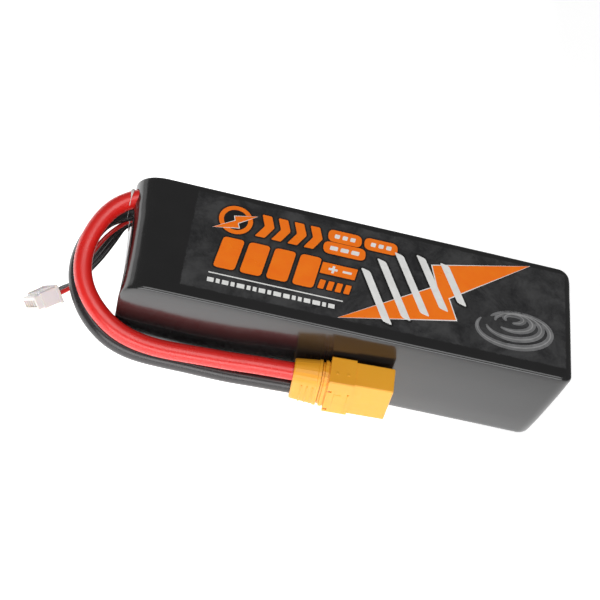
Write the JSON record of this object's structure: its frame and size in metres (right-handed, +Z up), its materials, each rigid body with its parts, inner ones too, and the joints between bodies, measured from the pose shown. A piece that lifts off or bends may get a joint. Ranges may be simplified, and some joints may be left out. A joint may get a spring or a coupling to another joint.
{
  "type": "lipo battery pack",
  "caption": "Hard-wrapped lithium polymer battery pack with two power leads to a two-pole plug and a balance lead.",
  "frame": {"origin": "centre of the pack's underside, on the surface it rests on", "axes": "+X from the lead end to the rear end, +Y away from the side the power leads lie along, +Z up through the label side"},
  "size_m": [0.1878, 0.0595, 0.042],
  "materials": {
    "wrap": "glossy black printed shrink film",
    "seal": "translucent white sealant",
    "fibre": "dark fibre board",
    "foam": "dense foam",
    "pouch": "aluminium laminate pouch",
    "aluminium_foil": "satin foil",
    "nickel": "nickel-plated foil",
    "tape": "double-sided tape",
    "copper": "tinned copper",
    "board": "solder-masked board",
    "solder": "bright tin",
    "sheet": "amber insulating film",
    "red_silicone": "satin red silicone",
    "black_silicone": "satin black silicone",
    "plug_yellow": "moulded amber-yellow nylon",
    "gold": "gold-plated",
    "plug_white": "translucent white nylon"
  },
  "bodies": {
    "pack": {"shrink_sleeve": "wrap", "lead_seal": "seal", "lead_end_board": "fibre", "rear_end_pad": "foam", "top_guard_plate": "fibre", "bottom_guard_plate": "fibre", "cell_1": "pouch", "cell_1_positive_tab": "aluminium_foil", "cell_1_negative_tab": "nickel", "cell_2": "pouch", "cell_2_positive_tab": "aluminium_foil", "cell_2_negative_tab": "nickel", "cell_3": "pouch", "cell_3_positive_tab": "aluminium_foil", "cell_3_negative_tab": "nickel", "cell_4": "pouch", "cell_4_positive_tab": "aluminium_foil", "cell_4_negative_tab": "nickel", "cell_tape_1": "tape", "series_bar_1": "copper", "cell_tape_2": "tape", "series_bar_2": "copper", "cell_tape_3": "tape", "series_bar_3": "copper", "tab_board": "board", "positive_terminal": "copper", "negative_terminal": "copper", "sense_pad_1": "solder", "sense_pad_2": "solder", "sense_pad_3": "solder", "sense_pad_4": "solder", "sense_pad_5": "solder", "insulation_sheet": "sheet", "positive_lead": "red_silicone", "negative_lead": "black_silicone", "balance_wire_1": "black_silicone", "balance_wire_2": "black_silicone", "balance_wire_3": "black_silicone", "balance_wire_4": "black_silicone", "balance_wire_5": "red_silicone", "plug_housing": "plug_yellow", "plug_contact_positive": "gold", "plug_contact_negative": "gold", "positive_lead_core": "copper", "negative_lead_core": "copper", "balance_plug_housing": "plug_white", "balance_contact_1": "solder", "balance_contact_2": "solder", "balance_contact_3": "solder", "balance_contact_4": "solder", "balance_contact_5": "solder"},
    "plug_cap": {"plug_rear_cap": "plug_yellow"}
  },
  "joints": [
    {"name": "plug_cap_slide", "type": "slide", "parent": "pack", "child": "plug_cap", "axis": [-0.9944, 0.0174, -0.1045], "range_m": [0, 0.01]}
  ]
}
